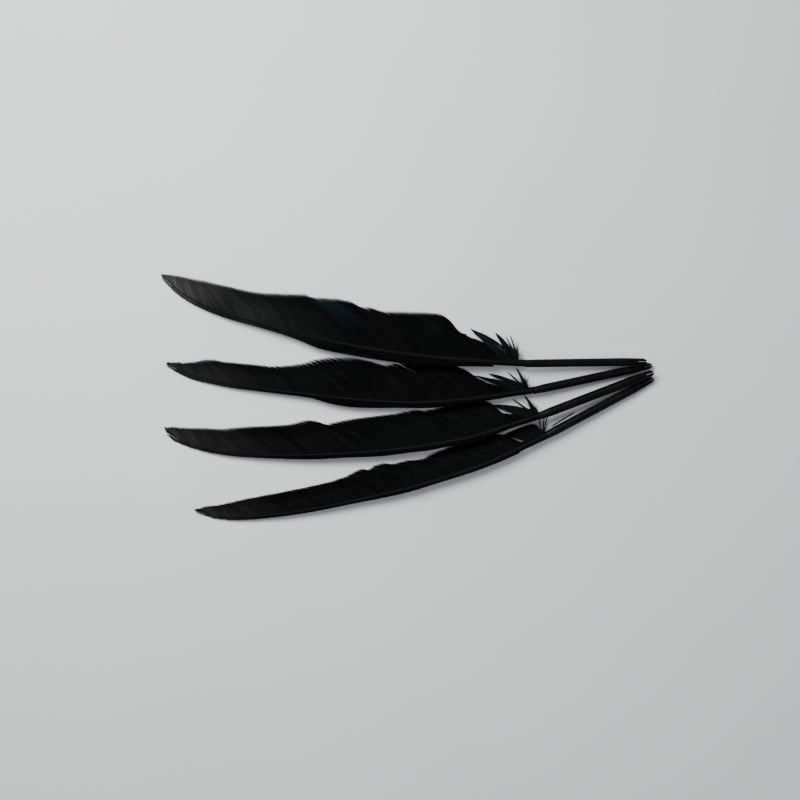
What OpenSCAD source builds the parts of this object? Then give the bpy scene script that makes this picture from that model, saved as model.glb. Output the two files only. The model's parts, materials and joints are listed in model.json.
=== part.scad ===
// Four feather quill pens laid in a fan on a table. Each pen is one wing feather:
// a hollow horn barrel cut to a writing point, a shaft filled with pith, a broad
// vane and a narrow vane of barbs, and a few loose barbs where the vanes begin.
//
// Row frame: +X towards the writing points, +Y to the broad-vane side, +Z up from
// the table. Pen 1 lies on top of pen 2, pen 2 on pen 3, and pen 3 on pen 4.
// Each pen is drawn in its own frame, with the mouth of the barrel at the origin
// and +X out of the mouth, and is then laid in its place. A "station" is the
// distance back from the mouth, and an "offset" is the distance to the broad side.

/* [Fan] */
// Turn of each pen about the vertical, pens 1 to 4, in degrees
fan_turn = [1, 12, 20.9, 27.8]; // [0:0.1:30]
// Place of each mouth along X
mouth_x = [147.8, 151.5, 152.1, 152.4]; // [140:0.1:160]
// Place of each mouth along Y
mouth_y = [22.2, 19.9, 15.5, 11.6]; // [5:0.1:30]
// Height of each barrel's axis at the mouth
mouth_z = [4.85, 2, 5.25, 2.05]; // [1.9:0.05:6]
// Climb of each barrel from the mouth, in degrees
barrel_climb = [2.5, 3, 2.3, 3]; // [1:0.1:4]

/* [Barrel] */
// Outside diameter of each barrel
barrel_d = [5, 5.3, 5.5, 5.4]; // [4:0.1:6]
// Outside diameter at the mouth
mouth_d = 4; // [3.6:0.1:4]
// Thickness of the horn wall
horn_wall = 0.6; // [0.4:0.05:0.8]
// Length of the barrel
barrel_l = 75; // [72:1:80]
// Length over which the barrel widens from the mouth
mouth_taper_l = 14; // [10:1:18]
// Length over which the barrel narrows to the shaft
root_taper_l = 7; // [5:1:10]

/* [Writing point] */
// Radius of the scoop cut into the underside
scoop_r = 25; // [20:1:40]
// Radius of the two shoulders cut into the sides
shoulder_r = 2; // [1.5:0.1:5]
// Width of the tip between the shoulders
tip_w = 2.4; // [0.8:0.1:3]
// Length of the slit
slit_l = 5; // [3:0.5:8]
// Width of the slit
slit_w = 0.16; // [0.1:0.02:0.3]

/* [Pulp membrane] */
// Station of the first dried cap inside the barrel
cap_start = 26; // [20:1:40]
// Number of dried caps
cap_n = 7; // [3:1:9]
// Distance from cap to cap
cap_pitch = 6; // [5:0.5:6]
// Thickness of the membrane
cap_t = 0.3; // [0.2:0.05:0.5]

/* [Shaft] */
// Half width of the shaft where it leaves the barrel
shaft_root = 2.25; // [1.8:0.05:2.3]
// Half width of the shaft at its tip
shaft_tip = 0.3; // [0.2:0.05:0.5]
// How the shaft thins: 1 is a straight taper
shaft_taper = 1.15; // [0.8:0.05:1.5]
// Thickness of the horn skin round the pith
shaft_skin = 0.55; // [0.4:0.05:0.7]
// Length of the pith, from the barrel
pith_l = 150; // [100:5:170]
// Length of bare vane tip past the shaft
bare_tip = 5; // [3:1:8]

/* [Vanes] */
// Thickness of a vane at the shaft
vane_t = 0.5; // [0.4:0.05:0.7]
// Thickness of a vane at its edge
edge_t = 0.3; // [0.2:0.05:0.4]
// How far a vane is rooted in the shaft's skin
vane_root = 0.3; // [0.1:0.05:0.4]
// Least distance from a vane's root to the shaft's centre line
vane_part = 0.25; // [0.2:0.05:0.3]
// Width of the fringe of barb tips past a broad vane's outline
fringe_w = 0.6; // [0:0.1:1]
// Length over which the fringe grows from the base of a broad vane
fringe_l = 30; // [10:5:60]
// How the broad vane bows as it droops to the table: 1 is straight
broad_bow = 1.4; // [1:0.1:2]
// Steepest fall of the broad vane for each millimetre of its width
broad_fall = 0.5; // [0.4:0.05:0.8]
// Steepest fall of the narrow vane for each millimetre of its width
narrow_fall = 0.25; // [0:0.05:0.4]

/* [Loose barbs] */
// Thickness of a lock of loose barbs
lock_t = 0.5; // [0.3:0.05:0.6]
// Width of a lock at its tip
lock_tip_w = 0.3; // [0.2:0.05:0.5]

/* [Hidden] */
PENS = [1, 2, 3, 4];
PIECES = ["barrel", "pulp_caps", "shaft", "pith", "leading_vane", "trailing_vane", "down_tufts"];

round_fn = 64;        // fineness of the round pieces
shaft_sides = 12;     // sides of the shaft's skin
shaft_steps = 20;     // steps along the shaft
pith_steps = 10;      // steps along the pith
row_step = 8;         // greatest distance between stations of a vane
broad_points = 3;     // points across the broad vane
lock_steps = 7;       // steps along a lock of loose barbs

// Centre line of each shaft in plan: station, offset
SPINES = [
    [[75, 0.3], [110, 2.4], [160, 8.9], [200, 17], [240, 28.3], [270, 38.6], [288, 49], [299, 58.5]],
    [[75, 0.3], [108, 2.4], [140, 6.2], [178, 15.7], [218, 29], [248, 39.7], [273, 50], [286, 57.5],
     [294, 63.5]],
    [[75, 0.2], [114, 2.2], [154, 9.4], [185, 17.8], [224, 31], [254, 43.2], [275, 54.6], [289, 66],
     [295, 74]],
    [[75, 0], [108, 1.2], [147, 6.9], [196, 19], [230, 29.2], [258, 39.8], [280, 51.6], [289, 60]]
];

// Edge of each broad vane in plan: station, offset
BROAD_EDGES = [
    [[88, 2.6], [93, 7], [97, 10.8], [101, 14], [110, 17.4], [115, 19], [119, 25], [124, 30.3],
     [128, 32], [147, 33], [162, 33.5], [170, 36.5], [176, 36.5], [182, 40.5], [190, 42], [208, 43.5],
     [209, 45], [231, 46], [241, 47], [256, 50.5], [270, 54], [280, 56], [290, 58], [299, 58.8]],
    [[86, 3], [94, 6.5], [102, 10.2], [106, 12.5], [110, 17], [115, 22], [128, 29.5], [152, 33.5],
     [162, 34.5], [167, 37], [176, 41.5], [190, 45.3], [200, 46.7], [210, 45.8], [220, 46.6],
     [230, 48], [245, 53], [259, 57.3], [270, 61], [278, 60.6], [288, 63], [294, 63.8]],
    [[84.5, 2.6], [90, 6.8], [96, 8.5], [99, 15], [102, 19.5], [106, 22], [118, 24.6], [131, 26.2],
     [141, 28], [145, 30.3], [155, 32], [170, 35.7], [184, 39.2], [194, 41], [201, 41.5], [206, 46.5],
     [210, 48.4], [218, 49.3], [228, 51.7], [242, 56.4], [252, 59.5], [261, 62], [270, 66],
     [279, 69.5], [288, 73.5], [295, 76]],
    [[87, 2.4], [91, 3.4], [96, 9.6], [101, 14.5], [106, 17], [119, 19.5], [128, 20.5], [138, 21.5],
     [149, 22], [158, 25.9], [168, 28.3], [172, 31.2], [177, 32.4], [183, 31.4], [186, 34.8],
     [198, 35], [213, 38.2], [228, 42.4], [242, 46.5], [257, 51.3], [272, 55], [281, 58.5], [289, 60.3]]
];

// Edge of each narrow vane in plan: station, offset
NARROW_EDGES = [
    [[95, -1.6], [127, -0.7], [152, 1.7], [167, 4], [187, 8], [202, 11.5], [212, 16], [222, 20],
     [236, 24.5], [261, 32.3], [280, 41], [290, 48], [299, 58.2]],
    [[95, -0.6], [106, 0], [124, 1], [139, 2.6], [158, 6.7], [182, 11.9], [192, 15.1], [201, 19],
     [210, 24], [224, 29], [243, 35.6], [257, 40.5], [271, 46.6], [280, 51], [289, 58], [294, 63.2]],
    [[97, -0.9], [121, -0.2], [135, 2.6], [145, 4.2], [159, 7.7], [174, 11.3], [197, 19],
     [212, 23.7], [244, 36.7], [262, 45], [275, 52.6], [283, 58.4], [291, 65.5], [295, 72.5]],
    [[95, -1.8], [108, -1], [126, 1.3], [147, 5.1], [167, 8.9], [196, 17.2], [230, 27.4],
     [258, 38], [272, 44.8], [280, 50.2], [289, 59.7]]
];

// Locks of loose barbs: first and last station at the root, tip station, tip offset, height
// of the tip over the table, and how the mouth side and the tip side sweep round to the
// point, 1 being straight
LOCKS = [
    [[84.7, 87.2, 108, 22.5, 3, 1.9, 1], [81.4, 83.9, 93, 20.5, 3.5, 1.6, 1.15],
     [80.4, 81.1, 86.2, 17.9, 4, 1.2, 1.2], [79.2, 80.1, 83.5, 18.6, 4, 1.2, 1.2]],
    [[84.2, 85.4, 109, 17, 2.5, 1.4, 0.95], [81.7, 83.4, 99.3, 15.9, 2, 1.8, 1.2],
     [80.1, 81.4, 87.9, 14.8, 2.5, 1.2, 1.2], [78, 79.8, 81.9, 16.3, 1.5, 1.2, 1.2]],
    [[80.2, 83.8, 100, 17, 1.5, 1.9, 1.1], [78.4, 79.8, 86.7, 16, 1.5, 1.2, 1.2],
     [75.4, 78, 78.6, 15.3, 1.2, 1.2, 1.2]],
    [[77.6, 86.6, 97.3, 12.3, 1.5, 8, 1.2], [76.8, 77.4, 72.9, 11.3, 1, 1.2, 1.2],
     [76, 76.6, 69.7, 10.6, 1, 1.2, 1.2], [75.2, 75.8, 67.2, 10.6, 1.2, 1.2, 1.2]]
];

function pen_length(pen) = SPINES[pen - 1][len(SPINES[pen - 1]) - 1][0];

// Slope of the outline at point i, flat at a turning point so that it never overshoots
function secant(p, i) = (p[i + 1][1] - p[i][1]) / (p[i + 1][0] - p[i][0]);
function slope(p, i) =
    i == 0 ? secant(p, 0) :
    i == len(p) - 1 ? secant(p, i - 1) :
    let (a = secant(p, i - 1), b = secant(p, i)) a * b <= 0 ? 0 : 2 * a * b / (a + b);

// Offset of a smooth outline at station s
function outline(p, s) =
    let (
        i = max([for (k = [0 : len(p) - 2]) if (k == 0 || p[k][0] <= s) k]),
        w = p[i + 1][0] - p[i][0],
        t = (s - p[i][0]) / w
    )
    p[i][1] * (1 + 2 * t) * pow(1 - t, 2) + slope(p, i) * w * t * pow(1 - t, 2)
    + p[i + 1][1] * t * t * (3 - 2 * t) + slope(p, i + 1) * w * t * t * (t - 1);

// Stations of an outline: its own points, with more between those far apart
function stations(p) = concat(
    [for (i = [0 : len(p) - 2])
        let (n = ceil((p[i + 1][0] - p[i][0]) / row_step))
        for (k = [0 : n - 1]) p[i][0] + (p[i + 1][0] - p[i][0]) * k / n],
    [p[len(p) - 1][0]]
);

// Height of the table in a pen's own frame
function table_z(pen, s) =
    -(mouth_z[pen - 1] + s * sin(barrel_climb[pen - 1])) / cos(barrel_climb[pen - 1]);

// Height of the shaft's centre line, which arches down until the tip rests on the table
function spine_z(pen, s) =
    let (past = max(0, s - barrel_l) / (pen_length(pen) - barrel_l))
    (table_z(pen, pen_length(pen)) + shaft_tip + edge_t) * past * past;

function spine_y(pen, s) = outline(SPINES[pen - 1], s);
function spine_turn(pen, s) = atan(spine_y(pen, s + 1) - spine_y(pen, s));

function shaft_half(pen, s) =
    let (t = min(1, (s - barrel_l) / (pen_length(pen) - bare_tip - barrel_l)))
    shaft_tip + (shaft_root - shaft_tip) * pow(1 - t, shaft_taper);

// Height at which a vane leaves the shaft: a little above the centre line
function vane_z(pen, s) = spine_z(pen, s) + 0.3 * shaft_half(pen, s);

// Ring of points round the shaft at station s, square to its centre line
function shaft_ring(pen, s, half) = [
    for (k = [0 : shaft_sides - 1])
        let (a = 360 * (k + 0.5) / shaft_sides, turn = spine_turn(pen, s), side = half * cos(a))
        [-s + side * sin(turn), spine_y(pen, s) + side * cos(turn), spine_z(pen, s) + half * sin(a)]
];

// Ring of points round a vane at station s; side is 1 for the broad vane and -1 for the
// narrow one, and the edge falls until it rests on the table
function vane_ring(pen, s, edge, side, fall, bow, points) =
    let (
        root = spine_y(pen, s) + side * max(vane_part, shaft_half(pen, s) - vane_root),
        rim = side > 0 ? max(edge, root + edge_t) : min(edge, root - edge_t),
        edge_z = max(table_z(pen, s) + edge_t / 2, vane_z(pen, s) - fall * abs(rim - root)),
        across = [for (k = [0 : points - 1]) k / (points - 1)],
        upper = [for (f = across)
            [-s, root + (rim - root) * f,
             vane_z(pen, s) + (edge_z - vane_z(pen, s)) * pow(f, bow)
             + (vane_t + (edge_t - vane_t) * f) / 2]],
        lower = [for (k = [points - 1 : -1 : 0])
            upper[k] - [0, 0, vane_t + (edge_t - vane_t) * across[k]]]
    )
    concat(upper, lower);

// Four points round a lock of loose barbs, part f of the way from its root to its tip
function lock_ring(pen, lock, f) =
    let (
        root_y = spine_y(pen, lock[0]) + shaft_half(pen, lock[0]) - vane_root,
        root_z = vane_z(pen, lock[0]),
        y = root_y + (lock[3] - root_y) * f,
        z = root_z + (table_z(pen, lock[2]) + lock[4] - root_z) * f,
        near = -lock[0] + (lock[0] - lock[2]) * pow(f, lock[5]),
        far = -lock[1] + (lock[1] - lock[2] - lock_tip_w) * pow(f, lock[6])
    )
    [[far, y, z - lock_t / 2], [near, y, z - lock_t / 2],
     [near, y, z + lock_t / 2], [far, y, z + lock_t / 2]];

// Closed skin over a row of rings that all have the same number of points
module skin(rings) {
    n = len(rings[0]);
    last = len(rings) - 1;
    polyhedron(
        points = [for (ring = rings, p = ring) p],
        faces = concat(
            [[for (k = [0 : n - 1]) k]],
            [for (r = [0 : last - 1], k = [0 : n - 1])
                [r * n + k, (r + 1) * n + (k + 1) % n, r * n + (k + 1) % n]],
            [for (r = [0 : last - 1], k = [0 : n - 1])
                [r * n + k, (r + 1) * n + k, (r + 1) * n + (k + 1) % n]],
            [[for (k = [n - 1 : -1 : 0]) last * n + k]]
        )
    );
}

// Lays a pen's piece, drawn in the pen's own frame, in its place in the fan
module laid(pen) {
    i = pen - 1;
    translate([mouth_x[i], mouth_y[i], mouth_z[i]])
        rotate([0, 0, fan_turn[i]])
            rotate([0, barrel_climb[i], 0])
                children();
}

// Turns a profile of radius and station about the barrel's axis
module turned(profile) {
    rotate([0, -90, 0])
        rotate_extrude($fn = round_fn)
            polygon(profile);
}

// The cuts that make the writing point
module point_cuts() {
    translate([-1, 0, -scoop_r - 0.3])
        rotate([90, 0, 0])
            cylinder(r = scoop_r, h = 2 * mouth_d, center = true, $fn = round_fn);
    for (side = [-1, 1])
        translate([0, side * (shoulder_r + tip_w / 2), 0])
            cylinder(r = shoulder_r, h = 2 * mouth_d, center = true, $fn = round_fn);
    translate([-slit_l, -slit_w / 2, 0])
        cube([slit_l + 1, slit_w, mouth_d]);
}

module barrel(pen) {
    r = barrel_d[pen - 1] / 2;
    mouth_r = mouth_d / 2;
    neck_r = shaft_root + 0.05;
    color([0.09, 0.08, 0.08])
        laid(pen)
            difference() {
                turned([
                    [mouth_r, 0], [r, mouth_taper_l], [r, barrel_l - root_taper_l], [neck_r, barrel_l],
                    [neck_r - horn_wall, barrel_l], [r - horn_wall, barrel_l - root_taper_l],
                    [r - horn_wall, mouth_taper_l], [mouth_r - horn_wall, 0]
                ]);
                point_cuts();
            }
}

// Dried caps of membrane, one behind the other on a thread, left in the cured barrel
module pulp_caps(pen) {
    r = barrel_d[pen - 1] / 2 - horn_wall;
    thread_r = 2 * cap_t;
    cup = 2.4;
    last = cap_start + (cap_n - 1) * cap_pitch;
    color([0.62, 0.55, 0.42])
        laid(pen)
            turned(concat(
                [[0, cap_start - cap_t]],
                [for (k = [0 : cap_n - 1])
                    let (s = cap_start + k * cap_pitch)
                    each [[thread_r, s - cap_t], [r, s + cup - cap_t], [r, s + cup], [thread_r, s]]],
                [[0, last]]
            ));
}

// Rings round the hollow that the pith fills, from the barrel up
function pith_rings(pen) = [
    for (k = [0 : pith_steps])
        let (s = barrel_l + pith_l * k / pith_steps)
        shaft_ring(pen, s, shaft_half(pen, s) - shaft_skin)
];

// The skin runs up the inside of the shaft's hollow in reverse, and then up its outside
module shaft(pen) {
    bare_l = pen_length(pen) - bare_tip - barrel_l;
    hollow = pith_rings(pen);
    color([0.11, 0.1, 0.1])
        laid(pen)
            skin(concat(
                [for (k = [pith_steps : -1 : 0]) hollow[k]],
                [for (k = [0 : shaft_steps])
                    let (s = barrel_l + bare_l * k / shaft_steps)
                    shaft_ring(pen, s, shaft_half(pen, s))]
            ));
}

module pith(pen) {
    color([0.78, 0.74, 0.66])
        laid(pen)
            skin(pith_rings(pen));
}

module leading_vane(pen) {
    edge = NARROW_EDGES[pen - 1];
    color([0.07, 0.07, 0.08])
        laid(pen)
            skin([for (s = stations(edge))
                vane_ring(pen, s, outline(edge, s), -1, narrow_fall, 1, 2)]);
}

module trailing_vane(pen) {
    edge = BROAD_EDGES[pen - 1];
    color([0.06, 0.06, 0.07])
        laid(pen)
            skin([for (s = stations(edge))
                let (fringe = fringe_w * min(1, (s - edge[0][0]) / fringe_l))
                vane_ring(pen, s, outline(edge, s) + fringe, 1, broad_fall, broad_bow, broad_points)]);
}

module down_tufts(pen) {
    color([0.15, 0.15, 0.16])
        laid(pen)
            for (lock = LOCKS[pen - 1])
                skin([for (k = [0 : lock_steps]) lock_ring(pen, lock, k / lock_steps)]);
}

for (pen = PENS) {
    barrel(pen);
    pulp_caps(pen);
    shaft(pen);
    pith(pen);
    leading_vane(pen);
    trailing_vane(pen);
    down_tufts(pen);
}
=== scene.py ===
"""Looks for a fan of four black feather quill pens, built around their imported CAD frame.

Each pen keeps its CAD barrel, pulp caps and pith. Its shaft, its two vanes and its loose
barbs are replaced by finer pieces: a grooved horn shaft, vanes laid barb by barb, and
pointed locks of loose barbs with down between them. Lengths are in metres.
"""

import json
import logging
import math
from dataclasses import dataclass, field
from enum import Enum
from typing import Any, Callable

import bmesh
import bpy
import numpy as np
from mathutils import Matrix, Vector


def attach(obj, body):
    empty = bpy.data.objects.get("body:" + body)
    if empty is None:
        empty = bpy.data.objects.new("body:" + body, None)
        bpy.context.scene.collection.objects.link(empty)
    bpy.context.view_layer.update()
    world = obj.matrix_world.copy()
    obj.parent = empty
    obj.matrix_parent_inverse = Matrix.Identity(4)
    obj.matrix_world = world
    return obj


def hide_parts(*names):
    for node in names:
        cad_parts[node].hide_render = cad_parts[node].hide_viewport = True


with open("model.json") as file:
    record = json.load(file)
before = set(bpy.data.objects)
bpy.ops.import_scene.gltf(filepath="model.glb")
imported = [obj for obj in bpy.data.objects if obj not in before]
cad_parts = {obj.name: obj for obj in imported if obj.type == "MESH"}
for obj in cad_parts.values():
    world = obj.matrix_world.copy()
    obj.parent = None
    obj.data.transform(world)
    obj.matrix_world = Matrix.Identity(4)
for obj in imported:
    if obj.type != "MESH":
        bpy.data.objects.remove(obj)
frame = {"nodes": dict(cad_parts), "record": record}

logging.basicConfig(level=logging.INFO, format="%(message)s")
log = logging.getLogger("quill_pens")

MM = 0.001
BARB_UV = "barb"
Colour = tuple[float, float, float]
Blade = tuple[np.ndarray, np.ndarray, np.ndarray]
Splits = tuple[tuple[float, float], ...]
Strands = tuple[tuple[float, float, float, float, float, float], ...]


class Side(Enum):
    """Side of the shaft that a vane grows on, as a factor on offsets from the shaft."""

    BROAD = 1
    NARROW = -1


class Slot(Enum):
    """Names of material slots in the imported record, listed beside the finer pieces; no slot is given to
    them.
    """

    SHAFT = "shaft_horn"
    VANE = "vane_barbs"
    LOOSE = "loose_barbs"


# ---------------------------------------------------------------- shader expressions


class Wire:
    """A number on a shader socket. Arithmetic on it adds Math nodes to the same tree."""

    def __init__(self, tree: "ShaderTree", socket: bpy.types.NodeSocket) -> None:
        """Wraps an output socket of the tree."""
        self.tree = tree
        self.socket = socket

    def _math(self, operation: str, first: Any, second: Any) -> "Wire":
        """Adds one Math node and returns its result."""
        return self.tree.add("ShaderNodeMath", {"operation": operation}, {0: first, 1: second})

    def __add__(self, other: Any) -> "Wire":
        """self + other."""
        return self._math("ADD", self, other)

    def __radd__(self, other: Any) -> "Wire":
        """other + self."""
        return self._math("ADD", other, self)

    def __sub__(self, other: Any) -> "Wire":
        """self - other."""
        return self._math("SUBTRACT", self, other)

    def __rsub__(self, other: Any) -> "Wire":
        """other - self."""
        return self._math("SUBTRACT", other, self)

    def __mul__(self, other: Any) -> "Wire":
        """self * other."""
        return self._math("MULTIPLY", self, other)

    def __rmul__(self, other: Any) -> "Wire":
        """other * self."""
        return self._math("MULTIPLY", other, self)

    def between(self, low: float, high: float) -> "Wire":
        """Part of the way from low to high, smoothed and kept within 0 and 1."""
        settings = {"interpolation_type": "SMOOTHSTEP"}
        return self.tree.add("ShaderNodeMapRange", settings, {0: self, 1: low, 2: high, 3: 0.0, 4: 1.0})


class ShaderTree:
    """Node tree of one material, with one method that makes every node."""

    def __init__(self, name: str) -> None:
        """Makes a material that holds only a Principled shader and its output.

        Args:
            name: Name of the material.
        """
        self.material = bpy.data.materials.new(name)
        self.material.use_nodes = True
        self.tree = self.material.node_tree
        self.shader = self.tree.nodes["Principled BSDF"]

    def add(
        self,
        kind: str,
        settings: dict[str, Any] | None = None,
        inputs: dict[str | int, Any] | None = None,
        out: str | int = 0,
    ) -> Wire:
        """Adds a node, sets it up and fills its sockets.

        Args:
            kind: Node type.
            settings: Node properties, set first.
            inputs: Values or wires by socket name or number.
            out: Output to hand back.

        Returns:
            The chosen output, wrapped.
        """
        node = self.tree.nodes.new(kind)
        for name, value in (settings or {}).items():
            setattr(node, name, value)
        for key, value in (inputs or {}).items():
            self.feed(node.inputs[key], value)
        return Wire(self, node.outputs[out])

    def feed(self, socket: bpy.types.NodeSocket, value: Any) -> None:
        """Links a wire to a socket, or sets the socket's own value.

        Args:
            socket: The input socket.
            value: A wire, a number, a vector or a colour.
        """
        if isinstance(value, Wire):
            self.tree.links.new(value.socket, socket)
        elif socket.type == "RGBA":
            socket.default_value = (*value, 1.0)
        else:
            socket.default_value = value

    def place(self) -> Wire:
        """Object coordinates, which are the row frame's."""
        return self.add("ShaderNodeTexCoord", out="Object")

    def noise(self, vector: Wire, scale: float, detail: float = 3.0, rough: float = 0.5) -> Wire:
        """Noise of about 0.5 at the vector, with scale in features per unit and detail in octaves."""
        return self.add(
            "ShaderNodeTexNoise", {}, {"Vector": vector, "Scale": scale, "Detail": detail, "Roughness": rough}
        )

    def vector(self, x: Any, y: Any, z: Any = 0.0) -> Wire:
        """Three numbers as one vector."""
        return self.add("ShaderNodeCombineXYZ", {}, {0: x, 1: y, 2: z})

    def scaled(self, vector: Wire, factors: Colour) -> Wire:
        """A vector times three factors."""
        return self.add("ShaderNodeVectorMath", {"operation": "MULTIPLY"}, {0: vector, 1: factors})

    def mix(self, share: Any, first: Any, second: Any) -> Wire:
        """The first colour with a share of the second."""
        return self.add("ShaderNodeMix", {"data_type": "RGBA"}, {0: share, 6: first, 7: second}, out=2)

    def bump(self, height: Wire, strength: float, distance: float) -> Wire:
        """The normal bent by a height of 0 to 1, whose full step is the distance."""
        return self.add("ShaderNodeBump", {}, {"Strength": strength, "Distance": distance, "Height": height})

    def finish(self, **values: Any) -> bpy.types.Material:
        """Fills the Principled shader's sockets and returns the material.

        Args:
            **values: Socket values or wires; Base_Color stands for "Base Color".

        Returns:
            The finished material.
        """
        for name, value in values.items():
            self.feed(self.shader.inputs[name.replace("_", " ")], value)
        return self.material


# ---------------------------------------------------------------- finishes


@dataclass(frozen=True)
class HornFinish:
    """Dyed black horn: growth rings, lengthwise scratches and a low polish."""

    name: str
    dark: Colour = (0.0006, 0.0006, 0.0008)
    worn: Colour = (0.0030, 0.0029, 0.0036)
    roughness: float = 0.42
    polish: float = 0.04
    shine: float = 0.07

    def material(self, turn: Vector) -> bpy.types.Material:
        """Builds the finish for one pen.

        Args:
            turn: Rotation that lays the pattern along the pen.

        Returns:
            The material.
        """
        tree = ShaderTree(self.name)
        laid = {"Vector": tree.place(), "Rotation": turn}
        along = tree.add("ShaderNodeMapping", {"vector_type": "TEXTURE"}, laid)
        stretched = tree.scaled(along, (0.02, 1, 1))
        scratches = tree.noise(stretched, 4200, 5, 0.7)
        fibres = tree.noise(stretched, 1300, 3)
        rings = tree.noise(tree.scaled(along, (1, 0.15, 0.15)), 260, 2)
        smears = tree.noise(along, 90, 4, 0.6)
        wear = (0.45 * fibres + 0.35 * smears + 0.2 * scratches).between(0.46, 0.62)
        colour = tree.mix(wear, self.dark, self.worn)
        gloss = self.roughness + 0.22 * (smears - 0.5) + 0.3 * scratches.between(0.55, 0.7)
        height = 0.5 * rings + 0.35 * fibres + 0.15 * scratches
        return tree.finish(
            Base_Color=colour,
            Roughness=gloss,
            Normal=tree.bump(height, 0.35, 0.05 * MM),
            Coat_Weight=self.polish,
            Coat_Roughness=0.25,
            Specular_IOR_Level=self.shine,
        )


@dataclass(frozen=True)
class BarbFinish:
    """Dyed black barbs: streaks from barb to barb, a tip lightened to grey by painted sheen, a painted blue
    sheen patch and a soft sheen.
    """

    name: str
    dark: Colour = (0.0003, 0.0004, 0.0005)
    # Grey of the painted sheen that lightens the barbs towards the pen's tip.
    tip_sheen_grey: Colour = (0.0620, 0.0630, 0.0610)
    green: Colour = (0.0060, 0.0110, 0.0085)
    brown: Colour = (0.0125, 0.0098, 0.0072)
    # Colour of the painted blue sheen patch, with its station, reach and share below.
    blue_sheen: Colour = (0.0050, 0.0110, 0.0150)
    blue_sheen_at: float = 0.0
    blue_sheen_reach: float = 14 * MM
    blue_sheen_share: float = 0.35
    sheen: float = 0.02
    tip_sheen_from: float = 0.21
    tip_sheen_to: float = 0.36

    def material(self) -> bpy.types.Material:
        """Builds the finish, whose streaks follow the barbs through their own UV map.

        Returns:
            The material.
        """
        tree = ShaderTree(self.name)
        uv = tree.add("ShaderNodeUVMap", {"uv_map": BARB_UV})
        along = tree.add("ShaderNodeSeparateXYZ", {}, {0: uv}, out="X")
        station = tree.add("ShaderNodeSeparateXYZ", {}, {0: uv}, out="Y")
        fine = tree.noise(tree.vector(along * 1.5, station * 1900), 1.0, 2)
        locks = tree.noise(tree.vector(along * 0.7, station * 260, 3.0), 1.0, 3, 0.6)
        place = tree.place()
        clouds = tree.noise(place, 22, 2)
        hue = tree.noise(place, 14, 1)
        # Painted sheen: the barbs turn grey towards the pen's tip, standing in for light grazing them there.
        tip_sheen = station.between(self.tip_sheen_from, self.tip_sheen_to)
        streak = (0.5 * fine + 0.5 * locks).between(0.40, 0.66)
        # Share of grey: random barb streaks and patches, raised towards the tip by the painted sheen.
        share = (0.02 + 0.50 * tip_sheen) * streak + 0.50 * tip_sheen * clouds.between(0.30, 0.70)
        worn = share * (0.35 + 0.65 * tip_sheen)
        colour = tree.mix(worn, self.dark, self.tip_sheen_grey)
        tint = 0.15 + 0.85 * tip_sheen
        colour = tree.mix(0.55 * tint * hue.between(0.50, 0.66), colour, self.green)
        colour = tree.mix(0.45 * tint * (1 - hue.between(0.34, 0.50)) * streak, colour, self.brown)
        # Painted sheen: a blue patch centred on one station, standing in for blue iridescent reflection on
        # the barbs.
        away = (station - self.blue_sheen_at) * (1 / self.blue_sheen_reach)
        shine = 1 - away * away
        shine = self.blue_sheen_share * shine.between(0.0, 1.0) * along.between(0.25, 0.85)
        colour = tree.mix(shine, colour, self.blue_sheen)
        ribs = tree.noise(tree.vector(along * 260, station * 1900), 1.0, 2)
        return tree.finish(
            Base_Color=colour,
            Roughness=0.56 + 0.22 * (1 - streak) - 0.06 * tip_sheen,
            Normal=tree.bump(0.6 * ribs + 0.4 * fine, 0.5, 0.05 * MM),
            Specular_IOR_Level=0.03,
            Sheen_Weight=self.sheen,
            Sheen_Roughness=0.42,
            Sheen_Tint=(0.78, 0.86, 1.0),
        )


@dataclass(frozen=True)
class PithFinish:
    """Dry, spongy pith with small air cells."""

    name: str = "pith"
    pale: Colour = (0.20, 0.18, 0.16)
    shade: Colour = (0.09, 0.08, 0.07)

    def material(self) -> bpy.types.Material:
        """Builds the finish."""
        tree = ShaderTree(self.name)
        place = tree.place()
        cells = tree.add("ShaderNodeTexVoronoi", {}, {"Vector": place, "Scale": 2600}, out="Distance")
        stains = tree.noise(place, 240, 4)
        colour = tree.mix(0.6 * stains.between(0.4, 0.7) + 0.3 * cells, self.pale, self.shade)
        return tree.finish(
            Base_Color=colour,
            Roughness=0.9 - 0.1 * stains,
            Normal=tree.bump(cells, 0.7, 0.12 * MM),
            Specular_IOR_Level=0.2,
        )


@dataclass(frozen=True)
class MembraneFinish:
    """Thin, dry caps of pulp: papery, wrinkled and yellowed."""

    name: str = "membrane"
    pale: Colour = (0.11, 0.095, 0.08)
    aged: Colour = (0.05, 0.04, 0.035)

    def material(self) -> bpy.types.Material:
        """Builds the finish."""
        tree = ShaderTree(self.name)
        place = tree.place()
        veins = tree.noise(place, 900, 5, 0.65)
        stains = tree.noise(place, 320, 3)
        return tree.finish(
            Base_Color=tree.mix(stains.between(0.35, 0.7), self.pale, self.aged),
            Roughness=0.5 + 0.3 * veins,
            Normal=tree.bump(veins, 0.6, 0.08 * MM),
            Specular_IOR_Level=0.4,
        )


@dataclass(frozen=True)
class PaperFinish:
    """Plain pale paper under the pens, with a faint tooth."""

    name: str = "table_paper"
    pale: Colour = (0.66, 0.67, 0.68)
    dull: Colour = (0.60, 0.61, 0.62)

    def material(self) -> bpy.types.Material:
        """Builds the finish."""
        tree = ShaderTree(self.name)
        place = tree.place()
        clouds = tree.noise(place, 9, 3)
        tooth = tree.noise(place, 1400, 4, 0.6)
        return tree.finish(
            Base_Color=tree.mix(0.7 * clouds + 0.3 * tooth, self.pale, self.dull),
            Roughness=0.85,
            Normal=tree.bump(tooth, 0.15, 0.05 * MM),
            Specular_IOR_Level=0.2,
        )


# ---------------------------------------------------------------- reading the frame


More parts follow.
